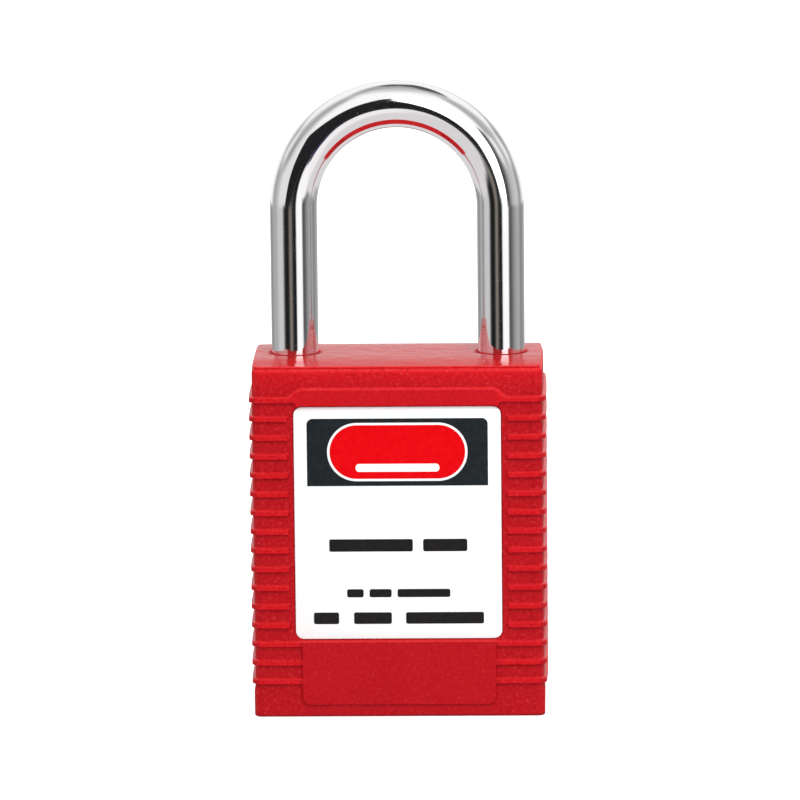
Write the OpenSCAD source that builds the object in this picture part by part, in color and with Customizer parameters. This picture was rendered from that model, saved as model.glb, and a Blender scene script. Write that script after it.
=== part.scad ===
// Safety padlock: ribbed nylon body, plated steel shackle, pin-tumbler
// cylinder and two locking balls, drawn as separate pieces in millimetres.
// Frame: origin at the centre of the underside, +X to the right seen from the
// front, -Y towards the front label, +Z up through the shackle.
// Rest state: shackle closed, plug in the key-withdrawal position, balls drawn
// into the cam's pockets and every pin stack standing at the shear line.

/* [Body] */
// Width of the flat body faces, without the ribs
body_w = 37; // [36.6:0.1:38]
// Depth of the flat body faces, without the ribs
body_d = 19.2; // [18.8:0.1:20]
// Height of the body at the middle of its top
body_h = 45.5; // [45.3:0.1:46]
// Radius of the four upright edges
edge_r = 1.0; // [0.6:0.1:1.4]
// Chamfer round the top edge
top_chamfer = 0.4; // [0.3:0.1:0.8]
// How far the top falls away towards the front and back edges
top_fall = 0.4; // [0.2:0.1:0.5]
// Half the depth of the level band along the middle of the top
top_band = 5.3; // [5:0.1:6.5]
// Chamfer round the bottom edge
foot_chamfer = 0.35; // [0.2:0.05:0.5]

/* [Grip ribs] */
// How far a rib stands out of the body
rib_h = 0.4; // [0.2:0.05:0.5]
// Thickness of one rib
rib_t = 0.7; // [0.5:0.05:0.9]
// Height of the top rib's centre above the underside
rib_top_z = 40.85; // [40.7:0.05:41]
// Spacing of the ribs
rib_pitch = 2.416; // [2.38:0.002:2.44]
// Number of ribs
rib_count = 16; // [14:1:16]
// Half the width that the middle ribs leave free for the label
rib_gap_half = 13.8; // [13.5:0.1:14.4]

/* [Labels] */
// Width of a label plate
label_w = 26.2; // [25:0.1:26.4]
// Height of a label plate
label_h = 29.85; // [28.5:0.05:29.9]
// Height of the label's centre above the underside
label_z = 25.02; // [24.9:0.01:25.1]
// Thickness of a label plate
label_t = 0.2; // [0.12:0.02:0.28]
// Depth of the label recess below the flat face
recess_depth = 0.3; // [0.28:0.01:0.5]

/* [Shackle] */
// Diameter of the shackle rod
rod_d = 6; // [5.8:0.05:6]
// Distance from the centre line to each leg's axis
leg_x = 13.15; // [13.1:0.05:13.3]
// Clear height between the body's top and the inside of the bow
clearance = 28.8; // [20:0.1:60]
// Height of the long leg's foot above the underside, shackle closed
heel_z = 19.0; // [18.8:0.1:19.2]
// Height of the short leg's end above the underside, shackle closed
toe_z = 35.4; // [35.2:0.1:35.6]
// Lift of the shackle from closed to its stop
lift = 11; // [10.6:0.1:11]

/* [Ball lock] */
// Radius of a locking ball
ball_r = 3.0; // [2.9:0.05:3]
// Height of the ball channel's axis
ball_z = 39.4; // [39.2:0.1:39.5]
// Ball centre from the centre line with the lock released
ball_x = 7.1; // [7:0.05:7.1]
// Travel of each ball over a quarter turn of the plug
ball_travel = 1.3; // [1.1:0.05:1.3]

/* [Cylinder] */
// Radius of the plug
plug_r = 4.7; // [4.6:0.05:4.8]
// Radius of the barrel behind its nose
barrel_r = 6.5; // [6.4:0.05:6.55]
// Radius of the barrel's nose, seen from below
nose_r = 7.2; // [7:0.05:7.2]
// Height of the barrel's rear face
barrel_top = 25.0; // [24.9:0.05:25.1]
// Spacing of the six pin stacks
pin_pitch = 3.2; // [3.1:0.05:3.2]
// Height of the first pin stack
pin_z0 = 5.6; // [5.4:0.1:5.8]
// Radius of the tumbler pins
pin_r = 1.15; // [1:0.05:1.15]

/* [Hidden] */
$fn = 64;

rod_r = rod_d / 2;
run = 0.08;                      // running clearance of a leg in its bore
bore_r = rod_r + run;
crown_z = body_h + clearance - leg_x + rod_r;   // centre of the bow
face_y = body_d / 2;             // flat face
rib_y = face_y + rib_h;          // rib tops
recess_y = face_y - recess_depth;
label_gap = 0.12;
cover_t = 2.0;
cover_z = 0.5;
cover_w = body_w - 3.5;
cover_d = body_d - 3.5;
cavity_r = barrel_r + 0.1;
cam_z0 = 36.3;
cam_z1 = 42.3;
cam_r0 = ball_x - ball_r - 0.12;
heel_foot = 2.35;
groove_r = 1.65;
pin_lock_z = heel_z + heel_foot + lift + 1.25;  // retaining pin's axis
seat_z = 8.0;
seat_t = 0.8;
tower_x = 12.6;
tower_y = 3.1;
shear = plug_r - 0.2;            // flat top of a key pin
driver_x = plug_r + 0.1;         // flat foot of a driver pin
driver_len = 3.3;
strip_x = 11.7;
key_len = [3.0, 4.3, 3.6, 4.8, 4.0, 3.3];
red = [0.80, 0.10, 0.13];
zinc = [0.72, 0.72, 0.70];
brass = [0.80, 0.66, 0.34];
steel = [0.70, 0.72, 0.75];

// ---- shared shapes ---------------------------------------------------------

module rrect(w, d, r) {
    square([w - 2 * r, d], center = true);
    square([w, d - 2 * r], center = true);
    for (sx = [-1, 1], sy = [-1, 1])
        translate([sx * (w / 2 - r), sy * (d / 2 - r)]) circle(r = r);
}

// outline in X and Z, given a thickness along Y that starts at y0
module slab_y(y0, t) {
    translate([0, y0 + t, 0]) rotate([90, 0, 0]) linear_extrude(height = t) children();
}

// cylinder along +X from x0 to x1 at height z
module rod_x(x0, x1, z, r) {
    translate([x0, 0, z]) rotate([0, 90, 0]) cylinder(r = r, h = x1 - x0);
}

// round-wire helix along +Z from 0 to h, wire ends squared off by flat caps
function coil_point(rm, wr, h, turns, i, n, j, m) =
    let (a = 360 * turns * i / n, b = 360 * j / m,
         r = rm + wr * cos(b), z = wr + (h - 2 * wr) * i / n + wr * sin(b))
    [r * cos(a), r * sin(a), z];

module coil(rm, wr, h, turns, seg = 14, m = 8) {
    n = round(turns * seg);
    pts = [for (i = [0:n], j = [0:m - 1]) coil_point(rm, wr, h, turns, i, n, j, m)];
    sides = [for (i = [0:n - 1], j = [0:m - 1])
             let (a = i * m + j, b = i * m + (j + 1) % m)
             [a, b, b + m, a + m]];
    polyhedron(points = pts,
               faces = concat(sides, [[for (j = [m - 1:-1:0]) j]],
                              [[for (j = [0:m - 1]) n * m + j]]),
               convexity = 8);
}

// ---- housing ---------------------------------------------------------------

module chamfered(w, fall, band) {
    polygon(concat([[-w / 2 + foot_chamfer, 0], [w / 2 - foot_chamfer, 0], [w / 2, foot_chamfer],
                    [w / 2, body_h - fall - top_chamfer],
                    [w / 2 - top_chamfer, body_h - fall]],
                   fall > 0 ? [[band, body_h], [-band, body_h]] : [],
                   [[-w / 2 + top_chamfer, body_h - fall],
                    [-w / 2, body_h - fall - top_chamfer], [-w / 2, foot_chamfer]]));
}

module body_block() {
    intersection() {
        linear_extrude(height = body_h) rrect(body_w, body_d, edge_r);
        slab_y(-face_y - 1, body_d + 2) chamfered(body_w, 0, 0);
        rotate([0, 0, 90]) slab_y(-body_w / 2 - 1, body_w + 2)
            chamfered(body_d, top_fall, top_band);
    }
}

module rib(i) {
    translate([0, 0, rib_top_z - i * rib_pitch - rib_t / 2]) linear_extrude(height = rib_t)
        difference() {
            rrect(body_w + 2 * rib_h, body_d + 2 * rib_h, edge_r + rib_h);
            if (i > 0 && i < 13)
                for (s = [-1, 1]) translate([0, s * (face_y + 0.4)])
                    square([2 * rib_gap_half, 2.0], center = true);
        }
}

// raised band over the label window and raised panel under it
module face_relief() {
    polygon([[-13.9, rib_top_z - rib_t / 2], [-13.2, rib_top_z - rib_t / 2], [-13.2, 39.6],
             [13.2, 39.6], [13.2, rib_top_z - rib_t / 2], [13.9, rib_top_z - rib_t / 2],
             [13.9, rib_top_z + rib_t / 2], [12.4, 42.38], [-12.4, 42.38],
             [-13.9, rib_top_z + rib_t / 2]]);
    translate([0, (9.8 + 1.57) / 2]) square([24.94, 9.8 - 1.57 - 2.4], center = true);
    translate([0, 9.2]) square([24.94, 1.2], center = true);
    translate([0, 3.5]) square([22.54, 3.86], center = true);
    for (s = [-1, 1]) translate([s * 11.27, 2.77]) circle(r = 1.2);
}

module label_outline(grow) {
    translate([0, label_z]) rrect(label_w + 2 * grow, label_h + 2 * grow, 1.05 + grow);
}

module body_shell() {
    color(red) difference() {
        union() {
            body_block();
            for (i = [0:rib_count - 1]) rib(i);
            slab_y(-rib_y, 1.4) face_relief();
            slab_y(rib_y - 1.4, 1.4) face_relief();
        }
        // label windows
        slab_y(-rib_y - 1, rib_y + 1 - recess_y) label_outline(label_gap);
        slab_y(recess_y, rib_y + 1 - recess_y) label_outline(label_gap);
        // leg bores with their lead-ins
        translate([-leg_x, 0, seat_z]) cylinder(r = bore_r, h = body_h);
        translate([leg_x, 0, 34.7]) cylinder(r = bore_r, h = body_h);
        for (s = [-1, 1]) translate([s * leg_x, 0, body_h - 0.5])
            cylinder(r1 = bore_r, r2 = bore_r + 0.36, h = 0.6);
        // central cavity, cam bearing and pin tower
        translate([0, 0, -1]) cylinder(r = cavity_r, h = cam_z1 + 0.3 + 1);
        translate([0, 0, cam_z1]) cylinder(r = 2.06, h = 1.6);
        translate([0, -tower_y - 0.08, 1]) cube([15.8, 2 * tower_y + 0.16, 27.7]);
        translate([0, 0, -1]) cylinder(r = nose_r + 0.08, h = 4.4);
        // rebate for the bottom cover
        translate([0, 0, -1]) linear_extrude(height = 1 + cover_z + cover_t)
            rrect(cover_w + 0.1, cover_d + 0.1, 1.05);
        // channel for the two balls
        rod_x(-leg_x, leg_x, ball_z, ball_r + 0.05);
        // press-fit hole of the heel retaining pin
        rod_x(-leg_x + 2, -cavity_r + 1.5, pin_lock_z, 1.2);
        // way of the barrel's retaining screw, reached through the toe bore
        translate([leg_x, 0, 28]) cylinder(r = 1.65, h = 4);
        translate([leg_x, 0, 31.45]) cylinder(r = 2.8, h = 4);
    }
}

module bottom_cover() {
    color(red) translate([0, 0, cover_z]) linear_extrude(height = cover_t) difference() {
        rrect(cover_w, cover_d, 1.0);
        circle(r = nose_r + 0.08);
    }
}

module label_front() {
    color([0.96, 0.96, 0.96]) slab_y(-recess_y - label_t, label_t) label_outline(0);
}

module label_back() {
    color([0.96, 0.96, 0.96]) slab_y(recess_y, label_t) label_outline(0);
}

// ---- shackle ---------------------------------------------------------------

module shackle() {
    color(steel) difference() {
        union() {
            translate([0, 0, crown_z]) rotate([90, 0, 0])
                rotate_extrude(angle = 180) translate([leg_x, 0]) circle(r = rod_r);
            translate([-leg_x, 0, heel_z + 0.4]) cylinder(r = rod_r, h = crown_z - heel_z - 0.4);
            translate([-leg_x, 0, heel_z]) cylinder(r1 = rod_r - 0.4, r2 = rod_r, h = 0.4);
            translate([leg_x, 0, toe_z + 0.7]) cylinder(r = rod_r, h = crown_z - toe_z - 0.7);
            translate([leg_x, 0, toe_z]) cylinder(r1 = rod_r - 0.7, r2 = rod_r, h = 0.7);
        }
        // ball seats in both legs
        for (s = [-1, 1]) translate([s * (ball_x + ball_travel), 0, ball_z])
            sphere(r = ball_r + 0.08);
        // flat along the heel and the groove above its foot
        translate([-leg_x + groove_r, -4, heel_z + heel_foot]) cube([4, 8, lift + 2.7]);
        translate([-leg_x, 0, heel_z + heel_foot]) difference() {
            cylinder(r = 4, h = 2.55);
            translate([0, 0, -1]) cylinder(r = groove_r, h = 5);
        }
    }
}

module shackle_spring() {
    color(steel) translate([-leg_x, 0, seat_z + seat_t + 0.02])
        coil(2.2, 0.36, heel_z - seat_z - seat_t - 0.04, 7, 16, 8);
}

module spring_seat() {
    color(steel) translate([-leg_x, 0, seat_z]) cylinder(r = 2.9, h = seat_t);
}

module heel_retaining_pin() {
    color(steel) rod_x(-leg_x + groove_r + 0.08, -cavity_r - 0.1, pin_lock_z, 1.2);
}

// ---- ball lock -------------------------------------------------------------

module ball_heel() { color(steel) translate([-ball_x, 0, ball_z]) sphere(r = ball_r); }
module ball_toe() { color(steel) translate([ball_x, 0, ball_z]) sphere(r = ball_r); }

// the cam's radius grows evenly from a pocket to a crest over each quarter turn
function cam_radius(a) =
    let (t = (a % 180) / 90) cam_r0 + ball_travel * (t <= 1 ? t : 2 - t);

module cam() {
    color(zinc) difference() {
        union() {
            translate([0, 0, cam_z0]) linear_extrude(height = cam_z1 - cam_z0)
                polygon([for (a = [0:5:355]) cam_radius(a) * [cos(a), sin(a)]]);
            translate([0, 0, 27.45]) cylinder(r = 3.6, h = cam_z0 - 27.45);
            translate([0, 0, cam_z1]) cylinder(r = 2.0, h = 1.4);
        }
        translate([-2.56, -0.86, 27]) cube([5.12, 1.72, 4.3]);
    }
}

// ---- cylinder --------------------------------------------------------------

module cylinder_barrel() {
    color(zinc) difference() {
        union() {
            translate([0, 0, 0.6]) cylinder(r = nose_r, h = 2.8);
            translate([0, 0, 3.2]) cylinder(r = barrel_r, h = barrel_top - 3.2);
            translate([0, -tower_y, 2.7]) cube([tower_x, 2 * tower_y, barrel_top - 2.7]);
            translate([9, -tower_y, 24]) cube([6.7, 2 * tower_y, 4.6]);
        }
        translate([0, 0, -1]) cylinder(r = plug_r + 0.06, h = 40);
        translate([0, 0, -1]) cylinder(r = 5.66, h = 3.03);
        for (i = [0:5]) rod_x(1, tower_x + 1, pin_z0 + i * pin_pitch, pin_r + 0.05);
        translate([strip_x, -2.25, 3.4]) cube([3, 4.5, 20.4]);
        translate([leg_x, 0, 20]) cylinder(r = 1.5, h = 10);
    }
}

module chamber_strip() {
    color(brass) translate([strip_x, -2.2, 3.45]) cube([tower_x - strip_x, 4.4, 20.3]);
}

module keyway() {
    translate([-3.7, -0.2]) square([3.4, 1.4], center = true);
    translate([-1.4, 0.35]) square([2.0, 1.1], center = true);
    translate([1.2, -0.2]) square([4.2, 1.6], center = true);
}

module plug() {
    color(brass) difference() {
        union() {
            translate([0, 0, 0.8]) cylinder(r = 5.6, h = 1.2);
            translate([0, 0, 1.9]) cylinder(r = plug_r, h = barrel_top - 1.9);
            translate([0, 0, 24.5]) cylinder(r = 2.9, h = 2);
            translate([0, 0, 25.9]) cylinder(r = 3.5, h = 1.5);
            translate([-2.5, -0.8, 27]) cube([5, 1.6, 4.2]);
        }
        translate([0, 0, 0]) linear_extrude(height = 24) intersection() {
            keyway();
            circle(r = plug_r + 0.02);
        }
        for (i = [0:5]) rod_x(-0.9, plug_r + 1, pin_z0 + i * pin_pitch, pin_r + 0.05);
    }
}

module plug_clip() {
    color(steel) translate([0, 0, barrel_top + 0.05]) linear_extrude(height = 0.8) difference() {
        circle(r = 5.5);
        circle(r = 2.95);
        translate([0, 4]) square([4.6, 8], center = true);
    }
}

module barrel_retaining_screw() {
    color(steel) difference() {
        union() {
            translate([leg_x, 0, 24.6]) cylinder(r = 1.48, h = 7);
            translate([leg_x, 0, 31.45]) cylinder(r = 2.65, h = 2.0);
        }
        translate([leg_x, 0, 32.2]) cylinder(r = 1.44, h = 2, $fn = 6);
    }
}

module key_pin(i) {
    z = pin_z0 + (i - 1) * pin_pitch;
    color(brass) translate([shear - key_len[i - 1], 0, z]) rotate([0, 90, 0]) {
        cylinder(r1 = 0.35, r2 = pin_r, h = 0.8);
        translate([0, 0, 0.8]) cylinder(r = pin_r, h = key_len[i - 1] - 0.8);
    }
}

module driver_pin(i) {
    color(steel) rod_x(driver_x, driver_x + driver_len, pin_z0 + (i - 1) * pin_pitch, pin_r);
}

module pin_spring(i) {
    x0 = driver_x + driver_len + 0.02;
    color(steel) translate([x0, 0, pin_z0 + (i - 1) * pin_pitch]) rotate([0, 90, 0])
        coil(0.88, 0.15, strip_x - x0 - 0.02, 5, 12, 6);
}

// ---- nodes -----------------------------------------------------------------

body_shell();
bottom_cover();
label_front();
label_back();
shackle();
shackle_spring();
spring_seat();
heel_retaining_pin();
ball_heel();
ball_toe();
cam();
cylinder_barrel();
plug();
plug_clip();
chamber_strip();
barrel_retaining_screw();
key_pin(1);  // key_pin_1
key_pin(2);  // key_pin_2
key_pin(3);  // key_pin_3
key_pin(4);  // key_pin_4
key_pin(5);  // key_pin_5
key_pin(6);  // key_pin_6
driver_pin(1);  // driver_pin_1
driver_pin(2);  // driver_pin_2
driver_pin(3);  // driver_pin_3
driver_pin(4);  // driver_pin_4
driver_pin(5);  // driver_pin_5
driver_pin(6);  // driver_pin_6
pin_spring(1);  // pin_spring_1
pin_spring(2);  // pin_spring_2
pin_spring(3);  // pin_spring_3
pin_spring(4);  // pin_spring_4
pin_spring(5);  // pin_spring_5
pin_spring(6);  // pin_spring_6
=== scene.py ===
import math

import bpy
import numpy as np
from mathutils import Matrix, Vector


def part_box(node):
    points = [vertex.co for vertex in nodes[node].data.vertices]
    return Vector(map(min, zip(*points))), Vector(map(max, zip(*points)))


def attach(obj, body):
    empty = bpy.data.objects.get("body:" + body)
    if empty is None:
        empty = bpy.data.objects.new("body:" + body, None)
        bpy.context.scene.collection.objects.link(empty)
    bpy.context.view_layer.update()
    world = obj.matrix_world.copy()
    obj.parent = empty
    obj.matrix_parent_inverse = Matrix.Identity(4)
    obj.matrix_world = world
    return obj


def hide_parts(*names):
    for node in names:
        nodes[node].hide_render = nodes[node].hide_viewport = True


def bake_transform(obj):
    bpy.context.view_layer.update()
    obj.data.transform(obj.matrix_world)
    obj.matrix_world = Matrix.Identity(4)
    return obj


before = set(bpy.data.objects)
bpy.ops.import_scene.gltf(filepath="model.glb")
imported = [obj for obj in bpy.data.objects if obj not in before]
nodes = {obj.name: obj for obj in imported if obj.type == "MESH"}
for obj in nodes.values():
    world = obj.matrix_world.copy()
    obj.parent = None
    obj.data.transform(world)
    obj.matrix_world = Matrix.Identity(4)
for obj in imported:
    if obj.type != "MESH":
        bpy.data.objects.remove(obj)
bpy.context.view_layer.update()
scene = bpy.context.scene
MM = 0.001

# ---------------------------------------------------------------- sizes, mm
lo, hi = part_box("body_shell")
H = hi.z / MM                       # 45.5 top of the housing at its middle
FALL, BAND = 0.45, 5.9               # the top falls away in front of and behind its level band
RIB_H = 0.4
W2 = hi.x / MM - RIB_H              # 18.5 half width of the flat faces
D2 = hi.y / MM - RIB_H              # 9.6 half depth of the flat faces
lo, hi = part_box("shackle")
BOW_TOP = hi.z / MM                 # 80.3
ROD_R = (hi.y - lo.y) / 2 / MM      # 3.0
LEG_X = hi.x / MM - ROD_R           # 13.15
CROWN_Z = BOW_TOP - LEG_X - ROD_R   # 64.15
HEEL_Z = lo.z / MM                  # 19.0
TOE_Z = 35.4
BALL_Z = 39.4
lo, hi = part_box("label_front")
LAB_HW = (hi.x - lo.x) / 2 / MM     # 13.1
LAB_HH = (hi.z - lo.z) / 2 / MM     # 14.925
LAB_Z = (hi.z + lo.z) / 2 / MM      # 25.02
LAB_Y = -lo.y / MM                  # 9.5 label face
LAB_Y0 = -hi.y / MM                 # 9.3 label back
RIBS = [40.85 - 2.416 * i for i in range(16)]
CROWN = 0.14                        # the sides are fullest at their middle

# ------------------------------------------------------------ mesh helpers


def make(name, verts, faces, smooth=True):
    """A mesh object from millimetre points."""
    me = bpy.data.meshes.new(name)
    me.from_pydata([tuple(c * MM for c in v) for v in verts], [], [tuple(f) for f in faces])
    me.validate()
    me.update()
    o = bpy.data.objects.new(name, me)
    scene.collection.objects.link(o)
    if smooth:
        me.polygons.foreach_set("use_smooth", [True] * len(me.polygons))
    return o


def ring_solid(name, rings, cap0=True, cap1=True, smooth=True):
    """Closed solid from equal-length rings of points."""
    n = len(rings[0])
    v = [p for r in rings for p in r]
    f = []
    for k in range(len(rings) - 1):
        a, b = k * n, (k + 1) * n
        for i in range(n):
            j = (i + 1) % n
            f.append((a + i, a + j, b + j, b + i))
    if cap0:
        f.append(tuple(reversed(range(n))))
    if cap1:
        f.append(tuple((len(rings) - 1) * n + i for i in range(n)))
    return make(name, v, f, smooth)


def circle(r, z, n, cx=0.0, cy=0.0):
    return [(cx + r * math.cos(2 * math.pi * i / n), cy + r * math.sin(2 * math.pi * i / n), z) for i in range(n)]


def lathe(name, profile, n=64, cx=0.0, cy=0.0, smooth=True):
    """Solid of revolution round a vertical axis, profile of (radius, z) from foot to top."""
    return ring_solid(name, [circle(r, z, n, cx, cy) for r, z in profile], smooth=smooth)


def tube_ring(name, profile, n=96, cx=0.0, cy=0.0):
    """Ring of revolution with a closed profile of (radius, z)."""
    m = len(profile)
    v, f = [], []
    for i in range(n):
        a = 2 * math.pi * i / n
        v += [(cx + r * math.cos(a), cy + r * math.sin(a), z) for r, z in profile]
    for i in range(n):
        a, b = i * m, ((i + 1) % n) * m
        for k in range(m):
            q = (k + 1) % m
            f.append((a + k, b + k, b + q, a + q))
    return make(name, v, f)


def along_x(o):
    """Turns a solid made along +Z to lie along +X."""
    o.data.transform(Matrix(((0, 0, 1, 0), (0, 1, 0, 0), (-1, 0, 0, 0), (0, 0, 0, 1))))
    return o


def shift(o, x=0.0, y=0.0, z=0.0):
    o.data.transform(Matrix.Translation((x * MM, y * MM, z * MM)))
    return o


def block(name, x0, x1, y0, y1, z0, z1):
    return ring_solid(name, [[(x0, y0, z), (x1, y0, z), (x1, y1, z), (x0, y1, z)] for z in (z0, z1)], smooth=False)


def rrect(hw, hh, r, seg=10, cx=0.0, cy=0.0):
    """Rounded rectangle, anticlockwise, as (a, b) points."""
    pts = []
    for sx, sy, a0 in ((1, 1, 0), (-1, 1, 90), (-1, -1, 180), (1, -1, 270)):
        for k in range(seg + 1):
            a = math.radians(a0 + 90 * k / seg)
            pts.append((cx + sx * (hw - r) + r * math.cos(a), cy + sy * (hh - r) + r * math.sin(a)))
    return pts


def fuse(obj, others, op="DIFFERENCE", solver="MANIFOLD"):
    """Cuts or joins other solids into obj, in mesh, and removes them."""
    mods = []
    for c in others:
        m = obj.modifiers.new("cut", "BOOLEAN")
        m.operation, m.object, m.solver = op, c, solver
        mods.append(m)
    dg = bpy.context.evaluated_depsgraph_get()
    me = bpy.data.meshes.new_from_object(obj.evaluated_get(dg))
    obj.modifiers.clear()
    old = obj.data
    obj.data = me
    bpy.data.meshes.remove(old)
    for c in others:
        bpy.data.objects.remove(c)
    return obj


def finish_mesh(obj, angle=35, weighted=True):
    """Smooth shading with crisp edges, flat faces kept flat."""
    me = obj.data
    me.polygons.foreach_set("use_smooth", [True] * len(me.polygons))
    me.set_sharp_from_angle(angle=math.radians(angle))
    if weighted:
        w = obj.modifiers.new("normals", "WEIGHTED_NORMAL")
        w.keep_sharp = True
        w.mode = "FACE_AREA"
        w.weight = 50
    return obj


# --------------------------------------------------------- material helpers


class Net:
    """Short hand for building one node material."""

    def __init__(self, name):
        self.mat = bpy.data.materials.new(name)
        self.mat.use_nodes = True
        self.nt = self.mat.node_tree
        self.nt.nodes.clear()
        self.out = self.nt.nodes.new("ShaderNodeOutputMaterial")
        self.bsdf = self.nt.nodes.new("ShaderNodeBsdfPrincipled")
        self.nt.links.new(self.bsdf.outputs[0], self.out.inputs[0])
        self.tc = self.nt.nodes.new("ShaderNodeTexCoord")

    def link(self, a, b):
        self.nt.links.new(a, b)

    def put(self, socket, value):
        if hasattr(value, "is_output"):
            self.link(value, socket)
        else:
            socket.default_value = value

    def coords(self, scale=(1, 1, 1)):
        m = self.nt.nodes.new("ShaderNodeMapping")
        m.inputs["Scale"].default_value = scale
        self.link(self.tc.outputs["Object"], m.inputs["Vector"])
        return m.outputs[0]

    def xyz(self):
        s = self.nt.nodes.new("ShaderNodeSeparateXYZ")
        self.link(self.tc.outputs["Object"], s.inputs[0])
        return s.outputs

    def noise(self, scale, detail=3.0, rough=0.5, vec=None, stretch=None):
        n = self.nt.nodes.new("ShaderNodeTexNoise")
        n.inputs["Scale"].default_value = scale
        n.inputs["Detail"].default_value = detail
        n.inputs["Roughness"].default_value = rough
        self.link(vec or self.coords(stretch or (1, 1, 1)), n.inputs["Vector"])
        return n.outputs["Fac"]

    def voronoi(self, scale, vec=None):
        n = self.nt.nodes.new("ShaderNodeTexVoronoi")
        n.inputs["Scale"].default_value = scale
        self.link(vec or self.coords(), n.inputs["Vector"])
        return n.outputs["Distance"]

    def math(self, op, a, b=0.0, c=None):
        n = self.nt.nodes.new("ShaderNodeMath")
        n.operation = op
        self.put(n.inputs[0], a)
        self.put(n.inputs[1], b)
        if c is not None:
            self.put(n.inputs[2], c)
        return n.outputs[0]

    def ramp(self, value, a, b, c=0.0, d=1.0, smooth=True):
        """Maps value from a..b to c..d, held at the ends."""
        n = self.nt.nodes.new("ShaderNodeMapRange")
        n.interpolation_type = "SMOOTHSTEP" if smooth else "LINEAR"
        self.put(n.inputs["Value"], value)
        n.inputs["From Min"].default_value = a
        n.inputs["From Max"].default_value = b
        n.inputs["To Min"].default_value = c
        n.inputs["To Max"].default_value = d
        return n.outputs[0]

    def mix(self, fac, a, b):
        n = self.nt.nodes.new("ShaderNodeMix")
        n.data_type = "RGBA"
        self.put(n.inputs[0], fac)
        self.put(n.inputs[6], a)
        self.put(n.inputs[7], b)
        return n.outputs[2]

    def bump(self, height, strength, distance, below=None):
        n = self.nt.nodes.new("ShaderNodeBump")
        self.put(n.inputs["Strength"], strength)
        n.inputs["Distance"].default_value = distance
        self.link(height, n.inputs["Height"])
        if below is not None:
            self.link(below, n.inputs["Normal"])
        return n.outputs[0]

    def set(self, **kw):
        names = {"color": "Base Color", "rough": "Roughness", "metal": "Metallic", "ior": "IOR",
                 "normal": "Normal", "spec": "Specular IOR Level", "coat": "Coat Weight",
                 "coat_rough": "Coat Roughness", "sheen": "Sheen Weight", "aniso": "Anisotropic"}
        for k, v in kw.items():
            self.put(self.bsdf.inputs[names[k]], v)
        return self.mat


def rgb(r, g, b):
    """8-bit display colour to the renderer's linear colour."""
    f = lambda c: (c / 255 / 12.92) if c <= 10.3 else ((c / 255 + 0.055) / 1.055) ** 2.4
    return (f(r), f(g), f(b), 1.0)


# ---------------------------------------------------------------- materials


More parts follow.
